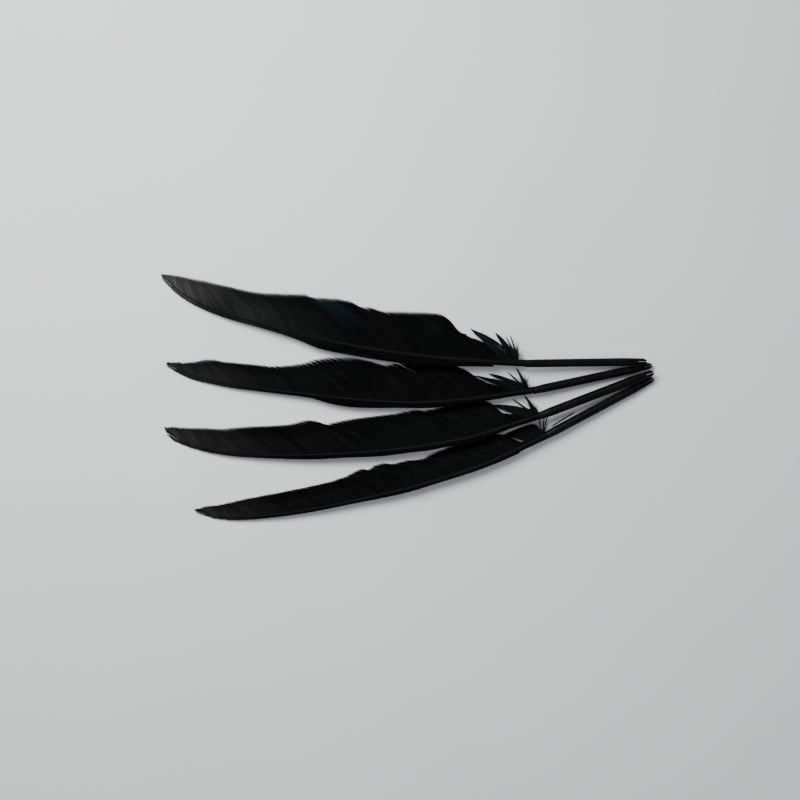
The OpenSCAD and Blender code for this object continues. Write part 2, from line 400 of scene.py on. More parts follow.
def triangles(node: str) -> np.ndarray:
    """Triangles of a CAD node.

    Args:
        node: Name of the node.

    Returns:
        Corners as an array of triangles by 3 corners by 3 coordinates, in the row frame.
    """
    mesh = frame["nodes"][node].data
    mesh.calc_loop_triangles()
    corners = np.array([t.vertices[:] for t in mesh.loop_triangles])
    points = np.array([v.co[:] for v in mesh.vertices])
    return points[corners]


def cut(corners: np.ndarray, axis: int, value: float) -> np.ndarray:
    """Cuts triangles with a plane square to one axis.

    Args:
        corners: Triangles by corners by coordinates.
        axis: Axis that the plane is square to.
        value: Where on that axis the plane lies.

    Returns:
        End points of the cut's segments, segments by 2 by 3.
    """
    above = corners[:, :, axis] > value
    crossing = corners[above.any(1) & ~above.all(1)]
    above = crossing[:, :, axis] > value
    lone = np.where(above.sum(1) == 1, above.argmax(1), (~above).argmax(1))
    rows = np.arange(len(crossing))
    start = crossing[rows, lone]
    ends = []
    for turn in (1, 2):
        other = crossing[rows, (lone + turn) % 3]
        share = (value - start[:, axis]) / (other[:, axis] - start[:, axis])
        ends.append(start + (other - start) * share[:, None])
    return np.stack(ends, axis=1)


def smoothed(values: np.ndarray, reach: int) -> np.ndarray:
    """Running mean that keeps its ends.

    Args:
        values: Numbers along a line.
        reach: Numbers to take on each side.

    Returns:
        The smoothed numbers.
    """
    padded = np.pad(values, reach, mode="reflect", reflect_type="odd")
    return np.convolve(padded, np.ones(2 * reach + 1) / (2 * reach + 1), mode="valid")


@dataclass(frozen=True)
class PenAxes:
    """A pen's own axes: x out of the mouth, y to the broad side, z up.

    A station is a distance back from the mouth along the barrel, so x is minus the station.
    """

    mouth: np.ndarray
    turn: np.ndarray

    @classmethod
    def of_pen(cls, number: int) -> "PenAxes":
        """Reads the axes from the pen's grip mount and its barrel.

        Args:
            number: The pen's number.

        Returns:
            The axes.
        """
        mount = next(m for m in frame["record"]["mounts"] if m["name"] == f"quill_{number}_grip")
        out = np.array(mount["axis"], float)
        out /= np.linalg.norm(out)
        up = np.array([0.0, 0.0, 1.0]) - out[2] * out
        up /= np.linalg.norm(up)
        side = np.cross(up, out)
        centre = np.array(mount["pos_m"], float)
        barrel = triangles(f"quill_{number}_barrel").reshape(-1, 3)
        mouth = centre + out * ((barrel - centre) @ out).max()
        return cls(mouth, np.stack([out, side, up]))

    def to_pen(self, points: np.ndarray) -> np.ndarray:
        """Row frame to pen axes."""
        return (points - self.mouth) @ self.turn.T

    def corners(self, node: str) -> np.ndarray:
        """Triangles of a CAD node on the pen's axes."""
        return self.to_pen(triangles(node).reshape(-1, 3)).reshape(-1, 3, 3)

    def to_row(self, points: np.ndarray) -> np.ndarray:
        """Pen axes to row frame."""
        return points @ self.turn + self.mouth

    def matrix(self) -> Matrix:
        """Pen axes to row frame, as Blender's matrix."""
        made = Matrix(self.turn.T.tolist()).to_4x4()
        made.translation = Vector(self.mouth)
        return made


@dataclass(frozen=True)
class VaneSurvey:
    """A vane's outline and heights, read from its CAD node at even stations."""

    stations: np.ndarray
    root: np.ndarray
    rim: np.ndarray
    heights: np.ndarray

    FRACTIONS = np.array([0.0, 0.12, 0.25, 0.4, 0.55, 0.7, 0.85, 1.0])

    @classmethod
    def of_node(cls, node: str, axes: PenAxes, side: Side, step: float = 0.5 * MM) -> "VaneSurvey":
        """Cuts the node at every step.

        Args:
            node: CAD node of the vane.
            axes: The pen's axes.
            side: Which side the vane grows on.
            step: Distance between cuts.

        Returns:
            The survey.
        """
        corners = axes.corners(node)
        first, last = -corners[..., 0].max(), -corners[..., 0].min()
        stations = np.arange(first + 0.02 * MM, last - 0.02 * MM, step)
        roots, rims, heights = [], [], []
        for station in stations:
            ends = cut(corners, 0, -station)
            low, high = ends[..., 1].min(), ends[..., 1].max()
            root, rim = (low, high) if side is Side.BROAD else (high, low)
            roots.append(root)
            rims.append(rim)
            heights.append([cls._mid_height(ends, root + (rim - root) * f) for f in cls.FRACTIONS])
        return cls(stations, smoothed(np.array(roots), 4), np.array(rims), np.array(heights))

    @staticmethod
    def _mid_height(ends: np.ndarray, offset: float) -> float:
        """Height half way through the vane at an offset.

        Args:
            ends: Segments of one cut.
            offset: Offset to read at.

        Returns:
            The height.
        """
        left, right = ends[..., 1].min(1), ends[..., 1].max(1)
        slack = 0.002 * MM
        over = ends[(left <= offset + slack) & (right >= offset - slack)]
        run = over[:, 1, 1] - over[:, 0, 1]
        flat = np.abs(run) < 1e-9
        share = np.where(flat, 0.5, (offset - over[:, 0, 1]) / np.where(flat, 1, run)).clip(0, 1)
        found = over[:, 0, 2] + (over[:, 1, 2] - over[:, 0, 2]) * share
        return float((found.min() + found.max()) / 2)

    def root_at(self, station: np.ndarray) -> np.ndarray:
        """Offset of the root."""
        return np.interp(station, self.stations, self.root)

    def rim_at(self, station: np.ndarray) -> np.ndarray:
        """Offset of the rim."""
        return np.interp(station, self.stations, self.rim)

    def across(self, station: np.ndarray, offset: np.ndarray) -> np.ndarray:
        """Part of the way from the root to the rim."""
        root, rim = self.root_at(station), self.rim_at(station)
        return (offset - root) / np.where(np.abs(rim - root) < 1e-6, 1e-6, rim - root)

    def height_at(self, station: np.ndarray, offset: np.ndarray) -> np.ndarray:
        """Height of the vane's middle surface.

        Args:
            station: Stations to read at.
            offset: Offsets to read at, of the same shape.

        Returns:
            The heights.
        """
        where = np.clip(self.across(station, offset), 0, 1)
        row = np.interp(station, self.stations, np.arange(len(self.stations)))
        low = np.clip(row.astype(int), 0, len(self.stations) - 2)
        share = np.clip(row - low, 0, 1)
        column = np.clip(np.searchsorted(self.FRACTIONS, where, side="right") - 1, 0, len(self.FRACTIONS) - 2)
        step = (where - self.FRACTIONS[column]) / (self.FRACTIONS[column + 1] - self.FRACTIONS[column])
        grid = self.heights
        near = grid[low, column] * (1 - step) + grid[low, column + 1] * step
        far = grid[low + 1, column] * (1 - step) + grid[low + 1, column + 1] * step
        return near * (1 - share) + far * share


# ---------------------------------------------------------------- modelling helpers


def clear_selection() -> None:
    """Deselects everything, the CAD nodes that loading left selected among them."""
    bpy.ops.object.select_all(action="DESELECT")


def select_points(obj: bpy.types.Object, wanted: Callable[[Vector], bool]) -> None:
    """Selects the vertices at the wanted places, in edit mode.

    Args:
        obj: The object in edit mode.
        wanted: Says whether a place is wanted.
    """
    mesh = bmesh.from_edit_mesh(obj.data)
    for edge in mesh.edges:
        edge.select_set(False)
    for face in mesh.faces:
        face.select_set(False)
    for vertex in mesh.verts:
        vertex.select_set(wanted(vertex.co))
    mesh.select_flush_mode()
    bmesh.update_edit_mesh(obj.data)


def settle(obj: bpy.types.Object, axes: PenAxes) -> None:
    """Puts a piece modelled on a pen's axes into the row frame, with its place in its mesh.

    Args:
        obj: The piece.
        axes: The pen's axes.
    """
    clear_selection()
    obj.select_set(True)
    bpy.context.view_layer.objects.active = obj
    obj.matrix_world = axes.matrix()
    bpy.ops.object.transform_apply(location=True, rotation=True, scale=True)


@dataclass(frozen=True)
class BarbBlade:
    """One barb, modelled once: a slender four-sided blade from its root to its point."""

    segments: int = 12

    def profile(self, share: float) -> float:
        """Share of the full width, part of the way from the root at 0 to the point at 1."""
        return (1 - 0.1 * share) * (1 - 0.88 * max(0.0, (share - 0.82) / 0.18) ** 2)

    def model(self) -> Blade:
        """Models the blade by hand and reads it.

        Returns:
            Ring number of each vertex, its place across and up, and the faces' corners
            as one flat array with four corners to a face.
        """
        clear_selection()
        bpy.ops.mesh.primitive_cylinder_add(
            vertices=4, radius=1, depth=1, end_fill_type="NGON", location=(0, 0, 0.5)
        )
        blade = bpy.context.active_object
        bpy.ops.object.transform_apply(location=True, rotation=True, scale=True)
        bpy.ops.object.mode_set(mode="EDIT")
        bpy.ops.mesh.select_mode(type="EDGE")
        mesh = bmesh.from_edit_mesh(blade.data)
        for face in mesh.faces:
            face.select_set(False)
        for edge in mesh.edges:
            edge.select_set(abs(edge.verts[0].co.z - edge.verts[1].co.z) > 0.5)
        bmesh.update_edit_mesh(blade.data)
        bpy.ops.mesh.subdivide(number_cuts=self.segments - 1)
        bpy.ops.mesh.select_mode(type="VERT")
        for ring in range(self.segments + 1):
            share = ring / self.segments
            select_points(blade, lambda co, z=share: abs(co.z - z) < 1e-4)
            width = self.profile(share)
            bpy.ops.transform.resize(value=(width, width, 1), center_override=(0, 0, share))
        bpy.ops.object.mode_set(mode="OBJECT")
        points = np.array([v.co[:] for v in blade.data.vertices])
        faces = np.array([p.vertices[:] for p in blade.data.polygons])
        bpy.data.objects.remove(blade)
        rings = np.rint(points[:, 2] * self.segments).astype(int)
        return rings, points[:, :2], faces


@dataclass
class BarbBundle:
    """Copies of the blade, each bent along its own line, gathered into one mesh.

    Args:
        name: Name of the piece.
        blade: Rings, places and faces of the modelled blade.
        lean: Angle that every blade is rolled by, so that each overlaps the next.
    """

    name: str
    blade: Blade
    lean: float = math.radians(11)
    points: list[np.ndarray] = field(default_factory=list)
    marks: list[np.ndarray] = field(default_factory=list)

    def lay(self, lines: np.ndarray, half_width: np.ndarray, half_depth: float, mark: np.ndarray) -> None:
        """Lays one blade along each line.

        Args:
            lines: Barbs by rings by 3 coordinates, on the pen's axes.
            half_width: Half width of each blade at each ring.
            half_depth: Half depth of the blades.
            mark: One number for each barb, kept in the UV map.
        """
        rings, places, _ = self.blade
        along = np.gradient(lines, axis=1)
        along /= np.linalg.norm(along, axis=2, keepdims=True)
        up = np.array([0.0, 0.0, 1.0]) - along[..., 2:] * along
        up /= np.linalg.norm(up, axis=2, keepdims=True)
        side = np.cross(up, along)
        wide = side * math.cos(self.lean) + up * math.sin(self.lean)
        deep = up * math.cos(self.lean) - side * math.sin(self.lean)
        placed = (
            lines[:, rings]
            + wide[:, rings] * (half_width[:, rings] * places[:, 0])[..., None]
            + deep[:, rings] * (half_depth * places[:, 1])[None, :, None]
        )
        share = rings / rings.max()
        self.points.append(placed)
        self.marks.append(np.stack(np.broadcast_arrays(share[None, :], mark[:, None]), axis=-1))

    def gather(self, axes: PenAxes) -> bpy.types.Object:
        """Makes the piece from all that was laid.

        Args:
            axes: The pen's axes.

        Returns:
            The piece, in the row frame.
        """
        faces = self.blade[2]
        points = np.concatenate(self.points)
        marks = np.concatenate(self.marks).reshape(-1, 2)
        count, size = points.shape[:2]
        corners = (faces[None] + (np.arange(count) * size)[:, None, None]).reshape(-1, faces.shape[1])
        mesh = bpy.data.meshes.new(self.name)
        mesh.from_pydata(axes.to_row(points.reshape(-1, 3)), [], corners.tolist())
        layer = mesh.uv_layers.new(name=BARB_UV)
        layer.data.foreach_set("uv", marks[corners.ravel()].astype(np.float32).ravel())
        piece = bpy.data.objects.new(self.name, mesh)
        bpy.context.scene.collection.objects.link(piece)
        clear_selection()
        piece.select_set(True)
        bpy.context.view_layer.objects.active = piece
        bpy.ops.object.shade_smooth_by_angle(angle=math.radians(40))
        return piece


# ---------------------------------------------------------------- the pen's pieces


@dataclass
class Shaft:
    """The horn shaft: round at the barrel, then flattened and grooved below."""

    pen: int
    axes: PenAxes
    sides: int = 20
    step: float = 4 * MM
    seat: float = 1.1 * MM
    groove_from: float = 14 * MM
    groove_depth: float = 0.3

    def survey(self) -> tuple[np.ndarray, np.ndarray, np.ndarray]:
        """Reads the CAD shaft.

        Returns:
            Stations, centre points on the pen's axes, and half widths square to the shaft.
        """
        corners = self.axes.corners(f"quill_{self.pen}_shaft")
        first, last = -corners[..., 0].max(), -corners[..., 0].min()
        stations = np.arange(first + 0.5 * MM, last - 0.4 * MM, 1 * MM)
        centres, halves = [], []
        for station in stations:
            ends = cut(corners, 0, -station).reshape(-1, 3)
            low, high = ends.min(0), ends.max(0)
            centres.append([-station, (low[1] + high[1]) / 2, (low[2] + high[2]) / 2])
            halves.append((high[2] - low[2]) / 2)
        centres = np.array(centres)
        centres[:, 1] = smoothed(centres[:, 1], 3)
        return stations, centres, smoothed(np.array(halves), 3)

    def build(self) -> bpy.types.Object:
        """Models the shaft by extruding its first ring from station to station.

        Returns:
            The piece, in the row frame.
        """
        stations, centres, halves = self.survey()
        chosen = np.arange(stations[0], stations[-1], self.step)
        line = np.stack([np.interp(chosen, stations, centres[:, k]) for k in range(3)], axis=1)
        half = np.interp(chosen, stations, halves)
        slope = np.gradient(line[:, 1], -line[:, 0])
        wide = half * np.sqrt(1 + slope**2)
        clear_selection()
        bpy.ops.mesh.primitive_circle_add(
            vertices=self.sides, radius=half[0], fill_type="NGON", rotation=(0, math.pi / 2, 0)
        )
        shaft = bpy.context.active_object
        shaft.name = shaft.data.name = f"quill_{self.pen}_grooved_shaft"
        bpy.ops.object.transform_apply(location=True, rotation=True, scale=True)
        bpy.ops.object.mode_set(mode="EDIT")
        bpy.ops.mesh.select_mode(type="VERT")
        bpy.ops.mesh.select_all(action="SELECT")
        start = line[0] + np.array([self.seat, 0, 0])
        bpy.ops.transform.translate(value=start)
        grooved = False
        for k in range(len(line)):
            before = start if k == 0 else line[k - 1]
            bpy.ops.mesh.extrude_region_move(TRANSFORM_OT_translate={"value": tuple(line[k] - before)})
            if k:
                ratio = (1, wide[k] / wide[k - 1], half[k] / half[k - 1])
                bpy.ops.transform.resize(value=ratio, center_override=tuple(line[k]))
            if not grooved and chosen[k] > chosen[0] + self.groove_from:
                self._groove(shaft, line[k], half[k])
                grooved = True
        bpy.ops.mesh.extrude_region_move(TRANSFORM_OT_translate={"value": (-half[-1], 0, 0)})
        end = line[-1] - np.array([half[-1], 0, 0])
        bpy.ops.transform.resize(value=(1, 0.35, 0.35), center_override=tuple(end))
        bpy.ops.mesh.select_all(action="SELECT")
        bpy.ops.mesh.remove_doubles(threshold=0.002 * MM)
        bpy.ops.mesh.normals_make_consistent(inside=False)
        bpy.ops.object.mode_set(mode="OBJECT")
        bpy.ops.object.shade_smooth_by_angle(angle=math.radians(50))
        settle(shaft, self.axes)
        return shaft

    def _groove(self, shaft: bpy.types.Object, centre: np.ndarray, half: float) -> None:
        """Presses the groove into the last ring's underside and flattens its back.

        Args:
            shaft: The shaft, in edit mode with its last ring selected.
            centre: Centre of that ring.
            half: Its half height.
        """
        last = centre[0]
        narrow = 0.34 * half

        def in_groove(co: Vector) -> bool:
            """Whether a place lies in the groove of the last ring."""
            return abs(co.x - last) < 1e-6 and abs(co.y - centre[1]) < narrow and co.z < centre[2]

        def on_back(co: Vector) -> bool:
            """Whether a place lies on the back of the last ring."""
            return abs(co.x - last) < 1e-6 and co.z > centre[2] + 0.7 * half

        select_points(shaft, in_groove)
        bpy.ops.transform.translate(value=(0, 0, self.groove_depth * half))
        select_points(shaft, on_back)
        bpy.ops.transform.translate(value=(0, 0, -0.1 * half))
        select_points(shaft, lambda co: abs(co.x - last) < 1e-6)


@dataclass
class Vane:
    """A vane laid barb by barb, from evenly paired places on its root and its rim."""

    pen: int
    axes: PenAxes
    side: Side
    node: str
    base_angle: float
    tip_angle: float
    spacing: float
    ragged: float
    splits: Splits = ()
    seed: int = 1
    angle_reach: float = 70 * MM
    bend: float = math.radians(13)
    half_depth: float = 0.085 * MM
    overhang: float = 0.9 * MM
    opening: float = 12 * MM
    wave_height: float = 0.05 * MM
    block_step: float = 0.06 * MM
    scatter: float = 0.02 * MM

    def paired(self, survey: VaneSurvey) -> tuple[np.ndarray, np.ndarray, np.ndarray]:
        """Pairs places on the rim with the roots that their barbs grow from.

        Args:
            survey: The vane's survey.

        Returns:
            Root station, rim station and mean angle to the shaft of each barb.
        """
        rim = survey.stations
        turn = smoothed(np.arctan(np.gradient(survey.root, rim)), 6)
        fall = np.exp(-(rim - rim[0]) / self.angle_reach)
        angle = self.tip_angle + (self.base_angle - self.tip_angle) * fall
        width = np.abs(survey.rim - survey.root) * np.cos(turn)
        root = rim - width * (np.cos(turn) / np.tan(angle) - self.side.value * np.sin(turn))
        root = np.maximum.accumulate(np.clip(root, rim[0], rim[-1] - 0.4 * MM))
        root = np.clip(smoothed(root, 16), rim[0], rim[-1] - 0.4 * MM)
        root = np.maximum.accumulate(root) * 0.99 + rim * 0.01
        outline = np.hypot(np.gradient(rim), np.gradient(survey.rim))
        density = np.maximum(np.gradient(root) / self.spacing, outline / (1.5 * self.spacing))
        counted = np.cumsum(density)
        wanted = np.arange(0.5, counted[-1] - 0.2)
        picks = [np.interp(wanted, counted, values) for values in (root, rim, angle)]
        return picks[0], picks[1], picks[2]

    def lines(
        self, survey: VaneSurvey, rings: int, draw: np.random.Generator
    ) -> tuple[np.ndarray, np.ndarray]:
        """Draws every barb as a curve from its root to the rim.

        Args:
            survey: The vane's survey.
            rings: Points to give each line.
            draw: The vane's random numbers.

        Returns:
            Lines as barbs by rings by (station, offset), and the roots' stations.
        """
        roots, rims, angle = self.paired(survey)
        turn = smoothed(np.arctan(np.gradient(survey.root, survey.stations)), 6)
        start = np.stack([roots, survey.root_at(roots)], axis=1)
        end = np.stack([rims, survey.rim_at(rims)], axis=1)
        length = np.linalg.norm(end - start, axis=1)
        leave = np.interp(roots, survey.stations, turn) + self.side.value * (angle + self.bend)
        arrive = np.interp(rims, survey.stations, turn) + self.side.value * (angle - self.bend)
        first = start + np.stack([np.cos(leave), np.sin(leave)], axis=1) * (0.35 * length)[:, None]
        second = end - np.stack([np.cos(arrive), np.sin(arrive)], axis=1) * (0.38 * length)[:, None]
        place, reach = self._tufts(len(roots), draw)
        slack = (self.overhang - self.ragged * reach) / np.maximum(length, 0.2 * MM)
        reach = np.clip(1 + slack, 0.6, 1.12)
        u = (np.linspace(0, 1, rings)[None] * reach[:, None])[..., None]
        made = (
            start[:, None] * (1 - u) ** 3
            + first[:, None] * 3 * u * (1 - u) ** 2
            + second[:, None] * 3 * u**2 * (1 - u)
            + end[:, None] * u**3
        )
        gather = 0.35 * self.spacing * place
        made[..., 0] += gather[:, None] * np.linspace(0, 1, rings)[None] ** 4
        return made, roots

    @staticmethod
    def _tufts(count: int, draw: np.random.Generator) -> tuple[np.ndarray, np.ndarray]:
        """Groups neighbouring barbs into small tufts, each with its own length.

        Args:
            count: Number of barbs.
            draw: Random numbers.

        Returns:
            How far each barb leans back into its tuft, and how much of the ragged length it lacks.
        """
        lean, lack = np.zeros(count), np.zeros(count)
        first = 0
        while first < count:
            size = int(draw.integers(3, 9))
            spot = (np.arange(size) + 0.5) / size * 2 - 1
            last = min(first + size, count)
            lean[first:last] = -spot[: last - first] * size / 4
            lack[first:last] = (0.55 * draw.uniform() + 0.45 * np.abs(spot))[: last - first]
            first += size
        return lean, np.clip(lack + draw.uniform(-0.08, 0.08, count), 0, 1)

    def part(self, lines: np.ndarray) -> tuple[np.ndarray, np.ndarray]:
        """Parts the barbs at the vane's splits.

        Args:
            lines: The barbs' lines.

        Returns:
            The moved lines, and the number of the block that each barb is in.
        """
        ends = lines[:, -1, 0]
        share = np.linspace(0, 1, lines.shape[1])
        block = np.zeros(len(lines))
        moved = lines.copy()
        for split, gap in self.splits:
            away = ends - split
            block += away > 0
            push = np.sign(away) * gap * np.exp(-np.abs(away) / (4 * MM))
            moved[:, :, 0] += push[:, None] * share[None] ** 2.5
        return moved, block

    def kept_inside(self, survey: VaneSurvey, lines: np.ndarray) -> np.ndarray:
        """Keeps the lines off the shaft, and lets only their tips pass the rim.

        Args:
            survey: The vane's survey.
            lines: The barbs' lines.

        Returns:
            The lines with their offsets kept within the vane and its fringe.
        """
        station = np.clip(lines[..., 0], survey.stations[0], survey.stations[-1])
        root, rim = survey.root_at(station), survey.rim_at(station)
        side = self.side.value
        fringe = self.overhang * np.clip((station - survey.stations[0]) / self.opening, 0, 1)
        out = np.clip(side * (lines[..., 1] - root), 0, side * (rim - root) + fringe)
        return np.stack([station, root + side * out], axis=-1)

    def build(self, blade: Blade) -> bpy.types.Object:
        """Lays the whole vane.

        Args:
            blade: The modelled blade.

        Returns:
            The piece, in the row frame.
        """
        draw = np.random.default_rng(self.seed)
        survey = VaneSurvey.of_node(self.node, self.axes, self.side)
        lines, roots = self.lines(survey, int(blade[0].max()) + 1, draw)
        lines, block = self.part(lines)
        lines = self.kept_inside(survey, lines)
        height = survey.height_at(lines[..., 0], lines[..., 1])
        wave = self.wave_height * np.sin(roots / (3.1 * MM) + 2 * np.sin(roots / (11 * MM)))
        share = np.linspace(0, 1, lines.shape[1])
        height = height + (wave + self.block_step * (block % 2 - 0.5) * 2)[:, None] * share[None]
        height = height + draw.uniform(-self.scatter, self.scatter, len(roots))[:, None]
        points = np.stack([-lines[..., 0], lines[..., 1], height], axis=-1)
        along = np.gradient(lines, axis=1)
        along /= np.maximum(np.linalg.norm(along, axis=2, keepdims=True), 1e-9)
        ahead = np.gradient(lines, axis=0)
        apart = np.abs(along[..., 0] * ahead[..., 1] - along[..., 1] * ahead[..., 0])
        half_width = np.clip(0.7 * apart + 0.03 * MM, 0.09 * MM, 0.8 * MM)
        name = f"quill_{self.pen}_{self.side.name.lower()}_barbs"
        bundle = BarbBundle(name, blade)
        bundle.lay(points, half_width, self.half_depth, roots)
        return bundle.gather(self.axes)


@dataclass
class LooseBarbs:
    """Pointed locks of unhooked barbs where the vane begins, with down between them."""

    pen: int
    axes: PenAxes
    edge: VaneSurvey
    first_web: float
    other_webs: float
    fluff: int
    strands: Strands = ()
    seed: int = 1
    spacing: float = 0.36 * MM
    least_half_width: float = 0.2 * MM
    down_per_lock: int = 9
    bundle: BarbBundle = field(init=False)
    rings: int = field(init=False)
    draw: np.random.Generator = field(init=False)

    def locks(self) -> list[np.ndarray]:
        """Reads each lock's solid from the CAD node.

        Returns:
            For each lock, rows of (offset, near x, far x, height) from its root to its tip.
            The lock that is farthest from the mouth comes first.
        """
        source = frame["nodes"][f"quill_{self.pen}_down_tufts"]
        clear_selection()
        copy = source.copy()
        copy.data = source.data.copy()
        bpy.context.scene.collection.objects.link(copy)
        copy.select_set(True)
        bpy.context.view_layer.objects.active = copy
        bpy.ops.object.mode_set(mode="EDIT")
        bpy.ops.mesh.select_all(action="SELECT")
        bpy.ops.mesh.remove_doubles(threshold=0.001 * MM)
        bpy.ops.mesh.separate(type="LOOSE")
        bpy.ops.object.mode_set(mode="OBJECT")
        found = []
        for part in list(bpy.context.selected_objects):
            part.data.calc_loop_triangles()
            corners = np.array([t.vertices[:] for t in part.data.loop_triangles])
            points = self.axes.to_pen(np.array([v.co[:] for v in part.data.vertices]))
            found.append(self._outline(points[corners]))
            bpy.data.objects.remove(part)
        return sorted(found, key=lambda rows: rows[0, 1])

    @staticmethod
    def _outline(corners: np.ndarray) -> np.ndarray:
        """Cuts one lock at even offsets.

        Args:
            corners: The lock's triangles on the pen's axes.

        Returns:
            Rows of (offset, near x, far x, height).
        """
        low, high = corners[..., 1].min(), corners[..., 1].max()
        rows = []
        for offset in np.linspace(low + 0.02 * MM, high - 0.02 * MM, 17):
            ends = cut(corners, 1, offset).reshape(-1, 3)
            height = (ends[:, 2].min() + ends[:, 2].max()) / 2
            rows.append([offset, ends[:, 0].max(), ends[:, 0].min(), height])
        return np.array(rows)

    def webs(self, locks: list[np.ndarray]) -> list[np.ndarray]:
        """Outlines of the short barbs that fill the gaps between the locks' roots.

        Args:
            locks: The locks' outlines.

        Returns:
            An outline for each gap, the one beside the vane first.
        """
        rising = self.edge.stations < self.edge.stations[0] + 14 * MM
        vane_side = np.stack([self.edge.rim[rising], -self.edge.stations[rising]], axis=1)
        borders = [vane_side] + [rows[:, :2] for rows in locks[:-1]]
        made = []
        for k, (border, rows) in enumerate(zip(borders, locks)):
            low = max(border[0, 0], rows[0, 0])
            offsets = np.linspace(low, low + (self.other_webs if k else self.first_web), 9)
            far = np.interp(offsets, border[:, 0], border[:, 1])
            near = np.interp(offsets, rows[:, 0], rows[:, 2])
            height = np.interp(offsets, rows[:, 0], rows[:, 3])
            made.append(np.stack([offsets, np.maximum(near, far), far, height], axis=1))
        return made

    def build(self, blade: Blade) -> bpy.types.Object:
        """Lays every lock, the webs between them, their down and the pen's single strands.

        Args:
            blade: The modelled blade.

        Returns:
            The piece, in the row frame.
        """
        self.draw = np.random.default_rng(self.seed)
        self.bundle = BarbBundle(f"quill_{self.pen}_loose_barbs", blade, lean=math.radians(16))
        self.rings = int(blade[0].max()) + 1
        locks = self.locks()
        for rows in locks:
            self._lay_lock(rows)
            self._lay_down(rows, self.down_per_lock)
        for rows in self.webs(locks):
            self._lay_web(rows)
        self._lay_down(locks[-1], self.fluff)
        self._lay_down(locks[0][:, [0, 2, 2, 3]], self.fluff)
        for strand in self.strands:
            self._lay_strand(strand)
        return self.bundle.gather(self.axes)

    @staticmethod
    def _inside(rows: np.ndarray, share: np.ndarray, place: np.ndarray) -> np.ndarray:
        """Lines that run up a lock.

        Args:
            rows: The lock's outline.
            share: Part of the way up, barbs by rings.
            place: Part of the way from the near side to the far one, for each barb.

        Returns:
            Points as barbs by rings by 3 coordinates.
        """
        row = share * (len(rows) - 1)
        offset, near, far, height = (np.interp(row, np.arange(len(rows)), rows[:, k]) for k in range(4))
        return np.stack([near + (far - near) * place[:, None], offset, height], axis=-1)

    def _lay(self, lines: np.ndarray, overlap: float, limits: tuple[float, float], depth: float) -> None:
        """Lays neighbouring barbs, each about as wide as the distance to the next.

        Args:
            lines: The barbs' lines.
            overlap: Half width as a share of that distance.
            limits: Least and greatest half width.
            depth: Half depth.
        """
        apart = np.abs(np.gradient(lines[..., 0], axis=0))
        self.bundle.lay(lines, np.clip(overlap * apart, *limits), depth, -lines[:, 0, 0])

    def _lay_lock(self, rows: np.ndarray) -> None:
        """Fills one lock with barbs that draw together at its point.

        Args:
            rows: The lock's outline.
        """
        count = max(4, int((rows[0, 1] - rows[0, 2]) / self.spacing) + 1)
        reach = 1 - self.draw.uniform(0.0, 0.10, count)
        reach[count // 2] = 1.0
        share = np.linspace(0, 1, self.rings)[None] * reach[:, None]
        lines = self._inside(rows, share, np.linspace(-0.06, 1.06, count))
        lines[..., 2] += self.draw.uniform(-0.08, 0.08, count)[:, None] * MM
        self._lay(lines, 0.8, (self.least_half_width, 0.45 * MM), 0.09 * MM)

    def _lay_web(self, rows: np.ndarray) -> None:
        """Fills the gap between two locks, leaving a notch at its top.

        Args:
            rows: The gap's outline.
        """
        widest = float((rows[:, 1] - rows[:, 2]).max())
        count = max(3, int(widest / (0.8 * self.spacing)) + 1)
        place = np.linspace(0.0, 1.0, count)
        reach = 1 - 0.16 * (1 - np.abs(2 * place - 1)) - self.draw.uniform(0, 0.06, count)
        lines = self._inside(rows, np.linspace(0, 1, self.rings)[None] * reach[:, None], place)
        lines[..., 2] -= self.draw.uniform(0.0, 0.15, count)[:, None] * MM
        self._lay(lines, 0.75, (0.12 * MM, 0.4 * MM), 0.08 * MM)

    def _lay_down(self, rows: np.ndarray, count: int) -> None:
        """Adds fine wavy down that strays from one lock.

        Args:
            rows: The lock's outline.
            count: Number of wisps.
        """

        def spread(low: float, high: float) -> np.ndarray:
            """A random number for each wisp."""
            return self.draw.uniform(low, high, count)[:, None]

        share = np.linspace(0, 1, self.rings)[None]
        reach = spread(0.25, 0.7)
        side = self.draw.choice([0.0, 1.0], count, p=[0.65, 0.35])
        lines = self._inside(rows, share * reach, side)
        stray = spread(0.3, 2.6) * MM * share**1.4
        wave = spread(0.06, 0.22) * MM * share
        ripple = wave * np.sin(share * spread(8, 18) + spread(0, 6))
        lines[..., 0] += stray * (1 - 2 * side[:, None]) + ripple
        lines[..., 1] += ripple
        lines[..., 2] += spread(-0.2, 0.3) * MM * share
        widths = np.full(lines.shape[:2], 0.05 * MM)
        self.bundle.lay(lines, widths, 0.04 * MM, -lines[:, 0, 0])

    def _lay_strand(self, strand: tuple[float, ...]) -> None:
        """Lays one single barb that has come away from the rest.

        Args:
            strand: Root station, root offset, tip station, tip offset, height and half
                width, in millimetres.
        """
        share = np.linspace(0, 1, self.rings)
        root_s, root_v, tip_s, tip_v, height, half_width = (value * MM for value in strand)
        x = -(root_s + (tip_s - root_s) * share**1.2)
        y = root_v + (tip_v - root_v) * share + 0.3 * MM * np.sin(share * math.pi)
        lines = np.stack([x, y, np.full(self.rings, height)], axis=-1)[None]
        widths = half_width * np.sin(np.clip(share * 2, 0.25, 1) * math.pi / 2)[None]
        self.bundle.lay(lines, widths, 0.1 * MM, np.array([root_s]))


